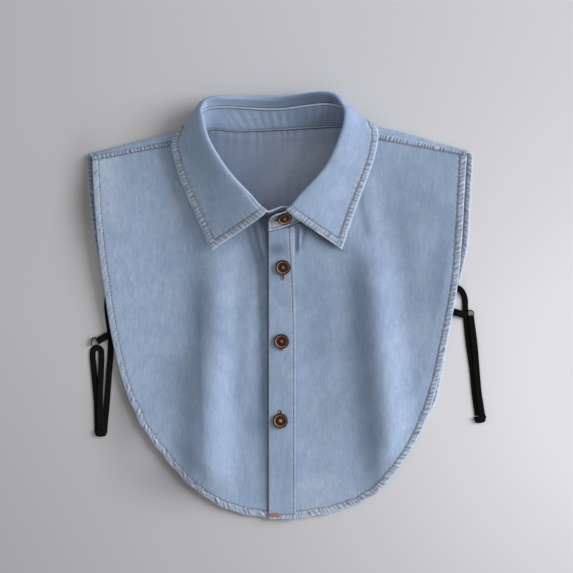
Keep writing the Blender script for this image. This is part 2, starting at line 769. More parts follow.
def fall_sheet():
    rows, s = ring_rows(FALL_START, FALL_END, edge_at)
    grid, places, total, roll = fall_grid(rows)
    outer, along_outer = to_edge(grid, grid[:, -1])
    left, along_left = to_edge(grid, grid[0])
    right, along_right = to_edge(grid, grid[-1])
    front = np.minimum(left, right)
    half = np.full(places.shape, BAND / 2) * lip(outer) * lip(front) * lip(places)
    cloth = np.stack([places - total, spread(s, places.shape[1])], axis=-1)
    sheet = Sheet(grid, half, cloth, s)
    sheet.face_up(len(rows) // 4, 50)
    along_front = np.where(left < right, along_left, along_right + 300)
    along = np.where(outer < front, along_outer, along_front + 700)
    distance = np.minimum(outer, front)
    width = FALL_STITCH + STITCH_INSET
    hem_relief(sheet, along, distance, 57, width, 0.5, wear=0.5, both=False, period=3.8, slant=0.3)
    fall_tones(sheet, rows, places - roll, front)
    sheet.above += 0.35 * waves(along_outer, 47, 61) * smooth(outer / 20) * smooth(places / 12)
    sheet.outer = outer
    sheet.left = left
    sheet.right = right
    sheet.places = places
    return upright(sheet)


def fall_tones(sheet, rows, past_roll, front):
    """The pale roll and front rim of the fall, the groove beside its roll and its dark inner side."""
    lit = smooth((6.5 - rows) / 2) * (0.7 + 0.3 * waves(sheet.s, 25, 58))
    on_roll = bump(past_roll - 0.6, 0.8) * lit[:, None]
    front_rim = bump(front, 0.75) * 0.65
    at_front = smooth((2.2 - rows) / 0.5)[:, None]
    groove = bump(past_roll - 1.7, 0.55) * at_front
    lower_line = bump(past_roll - 3.0, 0.7) * at_front * 0.8
    pale = np.maximum(np.maximum(on_roll * 0.55, front_rim), lower_line)
    sheet.wear = np.maximum(sheet.wear, clamp(pale)) * (1 - groove)
    sheet.above -= groove * 0.35
    inner_dark = smooth((2.5 - past_roll) / 4) * np.interp(rows, *INNER_DARK)[:, None]
    tone = 0.17 * smooth(past_roll / 6) * (1 - bump(rows - 8.2, 0.5))[:, None]
    sheet.shade = clamp(np.maximum(sheet.shade + tone, np.maximum(groove * 0.95, inner_dark)))


STAND_STITCH = 2.1
STAND_COLUMNS = 18  # between its two rounded edges
TAB = 26.0  # how much of the button end is pale from wear
TAB_CORNER = 11.5
TAB_RIM = 0.8  # how much further from the edge its stitches are
LEFT_END_ARCH = 2.2  # how far the stand's other end bows up behind the tab


def stand_column(sheet, from_top):
    """The column of the stand's stitches beside its neck seam, or beside its top."""
    inner = (sheet.tall - 2 * LIP) / (STAND_COLUMNS - 1)
    first = len(LIP_STEPS) - 1
    if from_top:
        return first + STAND_COLUMNS - 1 - (sheet.stitch - LIP) / inner
    return first + (sheet.stitch - LIP) / inner


def stand_grid(rows, s):
    """The stand's grid, how far its places are above the neck seam, and how tall it is."""
    low = seam_at(rows)
    high = stand_top(rows)
    cut = clamp(1 - (s[-1] - s) / TAB_CORNER)
    high = high - unit(high - low) * (TAB_CORNER * (1 - np.sqrt(1 - cut**2 * 0.97)))[:, None]
    high[:, 1] += LEFT_END_ARCH * np.sin(math.pi * clamp(rows / 0.95))
    tall = np.linalg.norm(high - low, axis=-1)[:, None]
    inner = np.linspace(0, 1, STAND_COLUMNS)[None, :] * (tall - 2 * LIP) + LIP
    lower = np.repeat(np.array(LIP_STEPS[:-1])[None, :], len(rows), axis=0)
    upper = tall - np.array(LIP_STEPS[-2::-1])[None, :]
    places = np.concatenate([lower, inner, upper], axis=1)
    grid = low[:, None, :] + (high - low)[:, None, :] * (places / tall)[..., None]
    return grid, places, tall


def stand_sheet():
    rows, s = ring_rows(0, LAST_ROW, seam_at)
    grid, places, tall = stand_grid(rows, s)
    from_top = tall - places
    nearest = np.minimum(np.minimum(places, from_top), to_ends(s))
    half = np.full(places.shape, BAND / 2) * lip(nearest)
    along = spread(s, places.shape[1])
    sheet = Sheet(grid, half, np.stack([places, along], axis=-1), s)
    tab = smooth((TAB - (s[-1] - s)) / 6)[:, None]
    left_end = smooth((34 - s) / 8)[:, None]
    ends_pale = np.maximum(tab, left_end)
    stitch = STAND_STITCH + TAB_RIM * tab
    rim = smooth((stitch - 0.4 - nearest) / 0.5)
    dip = bump(nearest - stitch, 0.5)
    gathers = ripples(along, 7.5, 40, 77)
    gathers = gathers * np.sin(math.pi * clamp(places / tall)) * (1 - ends_pale)
    gathers = gathers * clamp(0.6 + 0.6 * waves(along, 60, 79))
    rise = (rim * 0.3 - dip * 0.3) * lip(nearest, 1.2)
    sheet.above += rise + gathers * 0.35
    sheet.below += rise
    deep = left_end * smooth((from_top - 4.5) / 2)
    worn = rim * (0.3 + 0.7 * ends_pale) + gathers * 0.25 + tab * 0.92 * (1 - dip)
    worn += left_end * smooth((5 - from_top) / 1.5) * 0.8
    sheet.wear = clamp(worn) * (1 - deep)
    back_right = np.interp(rows, *STAND_DARK)[:, None]
    hollow = np.maximum(dip * (0.75 + 0.25 * ends_pale), deep * 0.95)
    hollow = np.maximum(hollow, (0.13 - gathers * 0.4) * (1 - ends_pale) * (1 - rim))
    sheet.shade = clamp(np.maximum(hollow, back_right * (1 - rim)))
    sheet.stitch = stitch[:, 0]
    sheet.tall = tall[:, 0]
    return sheet


PLACKET_STITCH_LINE = ((-210, 13.4), (-20, 13.3), (10, 12.4), (33, 11.2), (70, 9.3))  # y, x
PLACKET_HEM = 4.4


def placket_stitch(y):
    ys, xs = zip(*PLACKET_STITCH_LINE)
    return np.interp(y, ys, xs)


def placket_sheet():
    tall = PLACKET_TOP - PLACKET_BOTTOM
    y_places = spaced(tall, 1.3)
    wide = PLACKET_RIGHT - PLACKET_LEFT
    x_places = spaced(wide, 0.7)
    up, across = np.meshgrid(y_places, x_places, indexing="ij")
    top = PLACKET_TOP - 2 + across * PLACKET_SLANT
    y = PLACKET_BOTTOM + (top - PLACKET_BOTTOM) * up / tall
    x = PLACKET_LEFT + (placket_right(y) - PLACKET_LEFT) * across / wide
    grid = np.stack([x, y, placket_height(y)], axis=-1)
    from_left = across
    from_right = wide - across
    from_ends = np.minimum(up, tall - up)
    half = np.full(up.shape, PLACKET / 2) * lip(np.minimum(from_left, from_right)) * lip(from_ends)
    sheet = Sheet(grid, half, np.stack([x, y], axis=-1), y_places)
    sheet.face_up(20, 10)
    off = x - placket_stitch(y)
    stitch = bump(off, 0.6)
    pull = ripples(up, 5.8, 33, 88)
    near = np.exp(-np.abs(off) / 2.2) * clamp(0.5 + 0.6 * waves(up, 45, 91))
    hem = smooth((PLACKET_HEM - up) / 0.6)
    ridge, strength = rope(x, clamp(1 - up / PLACKET_HEM), 93, period=3.4)
    rise = near * pull * 0.22 * (1 - stitch) - stitch * 0.3
    rise += hem * (0.35 + ridge * strength * 0.5) - bump(up - PLACKET_HEM, 0.6) * 0.35
    sheet.above += rise * lip(from_left, 1.4) * lip(from_right, 2.6)
    band = smooth((off - 0.5) / 0.5)
    worn = bump(from_left, 0.9) * 0.7 + near * pull * 0.3 + band * 0.08
    worn += (bump(off - 1.2, 0.5) * 0.5 + bump(off + 1.2, 0.45) * 0.3) * (0.8 + 0.4 * waves(up, 40, 95))
    worn += hem * (0.25 + 0.8 * ridge**2 * strength) + bump(up, 0.9) * 0.4
    sheet.wear = clamp(worn)
    hollow = stitch * 0.4 + bump(up - PLACKET_HEM, 0.6) * 0.5 + hem * (1 - ridge) ** 3 * strength * 1.1
    hollow += 0.1 * (1 - band) + 0.72 * bump(x + 1.5, 9) * bump(y - 54.5, 7)
    hollow += bump(from_right, 0.8) * 0.55 * smooth((52 - y) / 8)
    sheet.shade = clamp(hollow)
    return upright(sheet)


# Stitches.
STITCH_LENGTH = 2.75
STITCH_PITCH = 3.15
THREAD = 0.3  # radius
STITCH_RISE = np.array([-0.5, 0.45, 0.7, 0.45, -0.5])  # along a stitch, as shares of the radius
STITCH_FULL = np.array([0.55, 0.95, 1.0, 0.95, 0.55])
WANDER = 0.12  # how far a stitch may be off its place, along its line and across it


def resample(points, normals, places):
    travelled = lengths(points)
    return along_line(places, travelled, points), unit(along_line(places, travelled, normals))


class Threads:
    """Collects short lengths of thread into one mesh."""

    def __init__(self, sides=6):
        self.sides = sides
        self.vertices = []
        self.faces = []
        self.tints = []
        self.count = 0

    def add(self, centres, normals, radii, tints):
        """centres and normals: one row of points for each length of thread."""
        number, steps = centres.shape[:2]
        tangent = unit(np.gradient(centres, axis=1))
        side = unit(np.cross(tangent, normals))
        lift = unit(np.cross(side, tangent))
        angle = np.arange(self.sides) * 2 * math.pi / self.sides
        ring = (
            side[:, :, None, :] * np.cos(angle)[None, None, :, None]
            + lift[:, :, None, :] * np.sin(angle)[None, None, :, None]
        )
        shell = centres[:, :, None, :] + ring * radii[None, :, None, None]
        ids = np.arange(number * steps * self.sides).reshape(number, steps, self.sides) + self.count
        around = np.roll(ids, -1, axis=2)
        self.faces += quads(ids[:, :-1], around[:, :-1], around[:, 1:], ids[:, 1:]).tolist()
        self.faces += ids[:, 0, ::-1].tolist()
        self.faces += ids[:, -1].tolist()
        self.vertices.append(shell.reshape(-1, 3))
        self.tints.append(np.repeat(tints, steps * self.sides))
        self.count += number * steps * self.sides

    def row(self, points, normals, seed, tone=0.5, pitch=STITCH_PITCH, length=STITCH_LENGTH, radius=THREAD):
        """A row of stitches along a line on a face."""
        total = lengths(points)[-1]
        number = max(1, int(total / pitch))
        chance = np.random.default_rng(seed)
        starts = (np.arange(number) + 0.5) * total / number - length / 2
        starts += chance.uniform(-WANDER, WANDER, number)
        t = np.linspace(0, 1, len(STITCH_RISE))
        places = starts[:, None] + t[None, :] * length
        at, facing = resample(points, normals, places.ravel())
        at = at.reshape(number, len(t), 3)
        facing = facing.reshape(number, len(t), 3)
        lift = STITCH_RISE * radius
        at = at + facing * lift[None, :, None]
        sideways = np.cross(facing, unit(np.gradient(at, axis=1)))
        at += sideways * chance.uniform(-WANDER, WANDER, (number, 1, 1))
        self.add(at, facing, STITCH_FULL * radius, tone + chance.uniform(-0.15, 0.15, number))

    def build(self, name):
        piece = new_object(name, np.vstack(self.vertices), self.faces)
        set_attribute(piece, "tint", "FLOAT", clamp(np.concatenate(self.tints)))
        return piece


def panel_stitches(threads, sheet, seed, tone):
    """Along the hem, just outside its inner line."""
    places = np.arange(len(sheet.s))
    column = sheet.line_column + STITCH_INSET / np.maximum((sheet.width - LIP) / 8, 0.1)
    points, normals = sheet.path(places, column)
    threads.row(points, normals, seed, tone)


def level_line(values, wanted, i):
    """The fractional column in row i where values first pass wanted, from the last column back."""
    row = values[i]
    for j in range(len(row) - 1, 0, -1):
        if row[j] <= wanted < row[j - 1]:
            return j - (wanted - row[j]) / (row[j - 1] - row[j])
    return None


def fall_stitches(threads, sheet, seed, tone):
    outline = np.minimum(sheet.left, sheet.right)
    path_i, path_j = [], []
    for i in range(sheet.outer.shape[0]):
        j = level_line(sheet.outer, FALL_STITCH, i)
        if j is None:
            continue
        low = int(j)
        if outline[i, low] >= FALL_STITCH:
            path_i.append(i)
            path_j.append(j)
    points, normals = sheet.path(path_i, path_j)
    threads.row(points, normals, seed, tone)
    for number, distance in enumerate((sheet.left, sheet.right)):
        path_i, path_j = [], []
        flipped = distance.T
        near_start = distance[0].mean() < distance[-1].mean()
        for j in range(4, distance.shape[1]):
            column = flipped[j] if near_start else flipped[j][::-1]
            place = level_line(column[None, ::-1], FALL_STITCH, 0)
            if place is None:
                continue
            place = len(column) - 1 - place
            i = place if near_start else len(column) - 1 - place
            if sheet.outer[int(round(i)), j] >= FALL_STITCH and sheet.places[int(round(i)), j] > 2:
                path_i.append(i)
                path_j.append(j)
        points, normals = sheet.path(path_i, path_j)
        threads.row(points, normals, seed + 1 + number, tone)


# The felled seams over the shoulders.
SEAM_COLUMNS = 15
SEAM_HALF = 0.55
SEAM_LIFT = 0.25
RAY_FROM = 200
RAY_STEP = 2.5  # a hit further than this above or below the last one is on another piece


def drop_tree(sheets):
    vertices, faces, count = [], [], 0
    for sheet in sheets:
        ids, between = numbered(sheet, count)
        vertices.append(sheet.top().reshape(-1, 3))
        faces += between.tolist()
        count += ids.size
    return BVHTree.FromPolygons(np.vstack(vertices).tolist(), faces)


def dropped_height(xy, otherwise, tree):
    """The height of the panels under a grid of places, made smoother. otherwise holds a height
    for each row, for places with no panel under them."""
    height = np.zeros(xy.shape[:2])
    for i in range(height.shape[0]):
        known = None
        for j in range(height.shape[1] - 1, -1, -1):
            hit = tree.ray_cast(Vector((xy[i, j, 0], xy[i, j, 1], RAY_FROM)), Vector((0, 0, -1)))[0]
            if hit is not None and (known is None or abs(hit.z - known) < RAY_STEP):
                known = hit.z
            height[i, j] = known if known is not None else otherwise[i]
    for _ in range(6):
        around = height[:-2, 1:-1] + height[2:, 1:-1] + height[1:-1, :-2] + height[1:-1, 2:]
        height[1:-1, 1:-1] = around / 4
    return height


def seam_sheet(row, tip, above, below, tree, seed):
    """A strip along a shoulder seam, lying over both panels. above and below: its widths at the
    neck and at the tip, and how much wider above in the middle."""
    row = np.array(float(row))
    neck = seam_at(row) - stand_up(row) * NECK_GAP
    spoke = np.array(tip, float) - neck
    line = neck[None, :] + spoke[None, :] * np.linspace(0.03, 1, 400)[:, None]
    travelled = lengths(line)
    s = spaced(travelled[-1], 0.8)
    at = along_line(s, travelled, line)
    part = (s / s[-1])[:, None]
    along = unit(spoke[None, :2])
    upward = np.array([-along[0, 1], along[0, 0]])
    upward *= np.sign(upward[1])
    high = above[0] + (above[1] - above[0]) * part + above[2] * np.sin(math.pi * part)
    total = high + (below[0] + (below[1] - below[0]) * part)
    inner = LIP + np.linspace(0, 1, SEAM_COLUMNS)[None, :] * (total - 2 * LIP)
    ends = np.repeat(np.array(LIP_STEPS[:-1])[None, :], len(s), axis=0)
    places = np.concatenate([ends, inner, total - ends[:, ::-1]], axis=1)
    xy = at[:, None, :2] + upward[None, None, :] * (high - places)[..., None]
    height = dropped_height(xy, at[:, 2], tree)
    grid = np.concatenate([xy, (height + SEAM_LIFT)[..., None]], axis=-1)
    from_sides = np.minimum(places, total - places)
    from_ends = to_ends(s)
    half = SEAM_HALF * lip(from_sides) * lip(from_ends)
    sheet = Sheet(grid, half, xy.copy(), s)
    sheet.face_up(10, 8)
    ridge, strength = rope(spread(s, places.shape[1]), places / total, seed, period=3.4, slant=0.3)
    strength = np.clip(strength * 1.3 + 0.2, 0, 1.2) * smooth(from_sides / 0.8)
    dips = bump(places - 0.9, 0.6) + bump(total - places - 0.9, 0.6)
    sheet.above += (ridge * strength * 0.45 - dips * 0.2) * lip(from_sides, 1.3)
    sheet.wear = clamp(0.08 + ridge**3 * strength * 0.4 + bump(from_sides, 0.7) * 0.3)
    sheet.shade = clamp((1 - ridge) ** 2.5 * strength * 1.6 + dips * 0.85)
    return upright(sheet)


def seam_stitches(threads, sheet, seed, tone):
    rows = np.arange(len(sheet.s))
    for number, side in enumerate((3.0, sheet.grid.shape[1] - 4.0)):
        points, normals = sheet.path(rows, np.full(len(rows), side))
        threads.row(points, normals, seed + number, tone, pitch=2.7, length=2.1, radius=0.27)


# Buttons.
BUTTON_DISH = 1.5
BUTTON_HOLE = 0.85
BUTTON_HOLE_OFFSET = 1.5
RIM_ROUND = 0.85
RIM_INSIDE = 1.85  # how far in from the edge the rim's worn line is
BUTTON_THREAD = 0.24  # radius
THREAD_APART = 0.28  # half the distance between the two threads of a pair
STAND_BUTTON = (17.1, 0.66)  # row of the ring, and share of the way up the stand
PLACKET_BUTTONS = (("button_upper", 3.3, 37.3), ("button_middle", 1.9, -33.6), ("button_lower", 0.8, -110))


def lathe(profile, segments):
    vertices = []
    faces = []
    for radius, height in profile:
        for k in range(segments):
            angle = 2 * math.pi * k / segments
            vertices.append((radius * math.cos(angle), radius * math.sin(angle), height))
    for i in range(len(profile) - 1):
        a = i * segments
        b = a + segments
        for k in range(segments):
            n = (k + 1) % segments
            faces.append((a + k, a + n, b + n, b + k))
    faces.append(tuple(range(segments))[::-1])
    faces.append(tuple(range((len(profile) - 1) * segments, len(profile) * segments)))
    return vertices, faces


def button_profile():
    points = [(BUTTON_RADIUS - 1.6, 0.0), (BUTTON_RADIUS - 0.5, 0.25), (BUTTON_RADIUS, 0.95)]
    rim = BUTTON_RADIUS - RIM_ROUND
    for k in range(9):
        angle = math.radians(k * 180 / 8)
        points.append((rim + RIM_ROUND * math.cos(angle), BUTTON_HEIGHT - 0.75 + 0.75 * math.sin(angle)))
    points += [(rim - 1.15, 1.72), (rim - 1.6, BUTTON_DISH + 0.06)]
    return points + [(rim - 2.6, BUTTON_DISH), (0.4, BUTTON_DISH)]


def button_mesh():
    """One four-hole button, made once and placed four times."""
    vertices, faces = lathe(button_profile(), 56)
    body = new_object("button_body", vertices, faces)
    cutters = []
    side = BUTTON_HOLE_OFFSET
    for sx, sy in ((-side, -side), (-side, side), (side, -side), (side, side)):
        vertices, faces = lathe([(BUTTON_HOLE, -2.0), (BUTTON_HOLE, 5.0)], 16)
        cutters.append(new_object("hole", [(x + sx, y + sy, z) for x, y, z in vertices], faces))
    for cutter in cutters:
        cut = body.modifiers.new("hole", "BOOLEAN")
        cut.operation = "DIFFERENCE"
        cut.solver = "EXACT"
        cut.object = cutter
    evaluated = body.evaluated_get(bpy.context.evaluated_depsgraph_get())
    mesh = bpy.data.meshes.new_from_object(evaluated)
    for piece in (*cutters, body):
        bpy.data.objects.remove(piece)
    mesh.shade_smooth()
    mesh.set_sharp_from_angle(angle=math.radians(50))
    return mesh


def placed(normal, at):
    """The matrix that stands a piece on a face at a point, in metres."""
    turn = Vector((0, 0, 1)).rotation_difference(Vector(normal)).to_matrix().to_4x4()
    return Matrix.Translation(Vector(at) * MM) @ turn


def button_places():
    row = np.array(STAND_BUTTON[0])
    seam = seam_at(row)
    along = seam_at(np.array(float(LAST_ROW))) - seam_at(np.array(LAST_ROW - 1.0))
    normal = unit(np.cross(stand_up(row), along))
    at = seam + (stand_top(row) - seam) * STAND_BUTTON[1] + normal * (BAND / 2 + GAP)
    places = [("button_stand", at, normal)]
    for name, x, y in PLACKET_BUTTONS:
        slope = math.atan((placket_height(y + 5.0) - placket_height(y - 5.0)) / 10)
        normal = np.array([0, -math.sin(slope), math.cos(slope)])
        at = np.array([x, y, float(placket_height(np.array(y)))]) + normal * (PLACKET / 2 + GAP)
        places.append((name, at, normal))
    return places


# Straps.
def centripetal(points):
    """The same centripetal Catmull-Rom curve as the CAD model's, from 0 to 1."""
    pts, ext = with_ends(points)

    def at(share):
        place = np.asarray(share, float) * (len(pts) - 1)
        low = np.clip(np.floor(place).astype(int), 0, len(pts) - 2)
        p = [ext[low + k] for k in range(4)]
        chords = [np.linalg.norm(p[k + 1] - p[k], axis=-1, keepdims=True) for k in range(3)]
        gap = [np.maximum(chord**0.5, 1e-4) for chord in chords]
        leave = (p[1] - p[0]) / gap[0] - (p[2] - p[0]) / (gap[0] + gap[1]) + (p[2] - p[1]) / gap[1]
        arrive = (p[2] - p[1]) / gap[1] - (p[3] - p[1]) / (gap[1] + gap[2]) + (p[3] - p[2]) / gap[2]
        return hermite((place - low)[:, None], p[1], p[2], leave * gap[1], arrive * gap[1])

    return at


STRAP_FLOOR = 0.5
STRAP_SECOND = 1.9
KEEPER_WIDTH = 2.6
KEEPER_HEIGHT = 1.7
CROSS_WIDTH = 6.7
STRAP_LIP = 0.42
STRAP_LIP_STEPS = (0.0, 0.06, 0.2)
STRAP_END_LENGTH = 5.0
STRAP_END_HEIGHT = 2.6
STRAP_END_OVER = 0.6  # how far the strap end reaches over the CAD model's gap
STRAP_END_ROWS = 14
STRAP_END_COLUMNS = 40
STRAP_END_BOW = 1.2
STRAP_END_TAPER = 0.22


def level(height, *points):
    return [(x, y, height) for x, y in points]


ROUTES = {
    "left_strap_rear": [
        (-161.5, 24, 2.7), (-164.3, 12, 2.7), (-165.4, 2, 2.5), (-164.8, -8, 1.4),
        *level(STRAP_FLOOR, (-162, -30), (-162.3, -46), (-163.5, -62), (-165.5, -90), (-168.1, -118.8)),
    ],
    "left_strap_cross": [
        (-156.5, -24, 2.5), (-161.5, -26.5, 2.3), (-167, -29.3, 2), (-175.2, -34.2, STRAP_SECOND),
    ],
    "left_strap_loop": [
        *level(STRAP_FLOOR, (-174.6, -118.8), (-175.6, -90.2), (-177.6, -68), (-179.3, -47), (-178.6, -42)),
        *level(STRAP_FLOOR, (-175.2, -39.7), (-171.6, -42.2)),
        (-170.9, -48, 0.8),
        *level(STRAP_SECOND, (-171.3, -64), (-172.4, -90.2), (-171.6, -118.8)),
    ],
    "left_strap_keeper": level(
        KEEPER_HEIGHT, (-176.3, -30.6), (-178, -30.1), (-180.1, -32.6), (-180.1, -38.2)
    ),
    "right_strap_rear": [
        (163.5, 18.6, 2.7), (169.5, 18, 2.7), (174.5, 14.6, 1.7), (177.7, 7.5, 0.7),
        *level(STRAP_FLOOR, (178.2, -2), (179, -11.5), (181.7, -37.4), (185, -60.5), (187.2, -83)),
        (190.2, -105.4, STRAP_FLOOR),
    ],
    "right_strap_cross": [
        (161.5, -4.2, 2.6), (167, -5.5, 2.5), (173, -7.2, 2.2), (180, -9.6, STRAP_SECOND),
    ],
    "right_strap_loop": level(
        STRAP_SECOND, (183.6, -8.8), (187.3, -37.4), (189.2, -60.5), (191.2, -83), (194.6, -105.4)
    ),
    "right_strap_keeper": level(KEEPER_HEIGHT, (181.4, -4.6), (183.6, -4.2), (185.8, -5.8), (186.4, -8.4)),
}
STRAP_ENDS = {  # middle, width and turn
    "left_strap_end": ((-171.4, -121.8), 12.6, 0.0),
    "right_strap_end": ((192.6, -108.7), 12.2, 0.14),
}


def strap_sheet(name):
    curve = centripetal(ROUTES[name])
    fine = np.linspace(0, 1, 1500)
    travelled = lengths(curve(fine))
    s = spaced(travelled[-1], 1.2)
    share = np.interp(s, travelled, fine)
    tangent = unit(curve(clamp(share + 1e-3)) - curve(clamp(share - 1e-3)))
    width = CROSS_WIDTH if name.endswith("cross") else STRAP_WIDTH
    if name.endswith("keeper"):
        width = KEEPER_WIDTH
        side = np.tile(np.array([0.0, 0, -1]), (len(s), 1))
    else:
        side = unit(np.stack([tangent[:, 1], -tangent[:, 0], np.zeros(len(s))], axis=-1))
    middle = np.linspace(STRAP_LIP, width - STRAP_LIP, 13)
    places = np.concatenate([STRAP_LIP_STEPS, middle, width - np.array(STRAP_LIP_STEPS[::-1])])
    grid = curve(share)[:, None, :] + side[:, None, :] * (places - width / 2)[None, :, None]
    from_side = np.minimum(places, width - places)[None, :]
    from_end = to_ends(s)
    half = STRAP / 2 * lip(from_side, STRAP_LIP) * lip(from_end, STRAP_LIP)
    sheet = Sheet(grid, half, np.stack(np.meshgrid(s, places, indexing="ij"), axis=-1), s)
    ribs = 0.5 + 0.5 * np.cos(2 * math.pi * places / (width / 6))
    sheet.above += 0.06 * ribs[None, :] * lip(from_side, 1.0)
    return sheet


def strap_end(name):
    """The end where the elastic is folded round and whipped over."""
    (x, y), width, turn = STRAP_ENDS[name]
    columns = STRAP_END_COLUMNS
    rows = STRAP_END_ROWS
    vertices = []
    faces = []
    for i in range(rows + 1):
        t = i / rows
        along = STRAP_END_LENGTH * (0.5 - t) + STRAP_END_OVER * (1 - t)
        half = width / 2 * (1 - STRAP_END_TAPER * smooth(np.array((t - 0.2) / 0.8)))
        for j in range(columns):
            angle = 2 * math.pi * j / columns
            c, s = math.cos(angle), math.sin(angle)
            px = half * math.copysign(abs(c) ** 0.45, c)
            pz = STRAP_END_HEIGHT / 2 * (1 + math.copysign(abs(s) ** 0.6, s))
            close = math.sqrt(max(0.0, 1 - (2 * t - 1) ** 8))
            bow = STRAP_END_BOW * (1 - (px / (width / 2)) ** 2) * t
            ridge = 0.08 * math.cos(2 * math.pi * px / 0.9)
            px *= 0.86 + 0.14 * close
            pz = STRAP_END_HEIGHT / 2 + (pz + ridge - STRAP_END_HEIGHT / 2) * (0.25 + 0.72 * close)
            py = along - bow
            vertices.append((
                x + px * math.cos(turn) - py * math.sin(turn),
                y + px * math.sin(turn) + py * math.cos(turn),
                pz,
            ))
    for i in range(rows):
        for j in range(columns):
            n = (j + 1) % columns
            a = i * columns
            faces.append((a + j, a + columns + j, a + columns + n, a + n))
    faces.append(tuple(range(columns)))
    faces.append(tuple(range(rows * columns, (rows + 1) * columns))[::-1])
    piece = new_object(name + "_cloth", vertices, faces)
    set_attribute(piece, "cloth", "FLOAT_VECTOR", np.array(vertices)[:, [1, 0, 2]] * MM)
    return piece


# Materials.
def nodes_of(name, values):
    """A material, its tree and its shader, some of whose inputs get fixed values."""
    material = bpy.data.materials.new(name)
    material.use_nodes = True
    tree = material.node_tree
    tree.nodes.clear()
    out = tree.nodes.new("ShaderNodeOutputMaterial")
    shader = add_node(tree, "ShaderNodeBsdfPrincipled", values)
    tree.links.new(shader.outputs[0], out.inputs[0])
    return material, tree, shader


def add_node(tree, kind, inputs=(), **settings):
    node = tree.nodes.new(kind)
    for key, value in settings.items():
        setattr(node, key, value)
    for key, value in dict(inputs).items():
        if isinstance(value, bpy.types.NodeSocket):
            tree.links.new(value, node.inputs[key])
        else:
            node.inputs[key].default_value = value
    return node


def noise(tree, coordinates, scale, detail=2.0, roughness=0.55):
    mapping = add_node(tree, "ShaderNodeMapping", {"Vector": coordinates, "Scale": scale})
    values = {"Vector": mapping.outputs[0], "Scale": 1.0, "Detail": detail, "Roughness": roughness}
    return add_node(tree, "ShaderNodeTexNoise", values).outputs["Fac"]


def ramp(tree, value, low, high):
    values = {"Value": value, "From Min": low, "From Max": high}
    return add_node(tree, "ShaderNodeMapRange", values, clamp=True).outputs[0]


def mixed(tree, factor, a, b):
    colours = {6: a, 7: b}
    for key, value in colours.items():
        if not isinstance(value, bpy.types.NodeSocket):
            colours[key] = (*value, 1)
    return add_node(tree, "ShaderNodeMix", {0: factor, **colours}, data_type="RGBA").outputs[2]


def maths(tree, operation, a, b=0.0):
    return add_node(tree, "ShaderNodeMath", {0: a, 1: b}, operation=operation).outputs[0]


def times(tree, a, b):
    return maths(tree, "MULTIPLY", a, b)


def attribute(tree, name, output="Fac"):
    return add_node(tree, "ShaderNodeAttribute", attribute_name=name).outputs[output]


def object_place(tree):
    return add_node(tree, "ShaderNodeTexCoord").outputs["Object"]


def raised(tree, shader, height, strength, distance):
    """Gives the shader a fine relief."""
    values = {"Height": height, "Strength": strength, "Distance": distance}
    relief = add_node(tree, "ShaderNodeBump", values)
    tree.links.new(relief.outputs[0], shader.inputs["Normal"])


DENIM_MAIN = (0.322, 0.424, 0.602)
DENIM_LIGHT = (0.395, 0.505, 0.69)
DENIM_DEEP = (0.25, 0.342, 0.515)
DENIM_WORN = (0.64, 0.7, 0.83)
DENIM_HOLLOW = (0.095, 0.125, 0.2)
DENIM_INSIDE = (0.335, 0.39, 0.505)
DENIM_VIOLET = (0.34, 0.41, 0.68)
DENIM_TEAL = (0.285, 0.425, 0.55)
THREAD_DARK = (0.1, 0.068, 0.062)
THREAD_PALE = (0.57, 0.43, 0.37)
ELASTIC_COLOURS = ((0.0022, 0.0018, 0.0016), (0.007, 0.006, 0.0055), (0.011, 0.008, 0.007))
HORN_COLOURS = ((0.012, 0.005, 0.004), (0.07, 0.018, 0.008), (0.5, 0.3, 0.2))  # the last is the rim's
FLOOR_COLOUR = (0.985, 0.99, 1.05)
FLOOR_TONE = 0.64  # in the middle
FLOOR_TONES = (0.4, 0.93)  # darkest and palest
FLOOR_ACROSS = 0.45  # gain in tone per metre to the right
FLOOR_DOWN = 0.27  # loss in tone per metre below the middle
FLOOR_GLOW = (0.32, -0.1, 0.22, 0.22, 0.22)  # middle, half sizes, how much


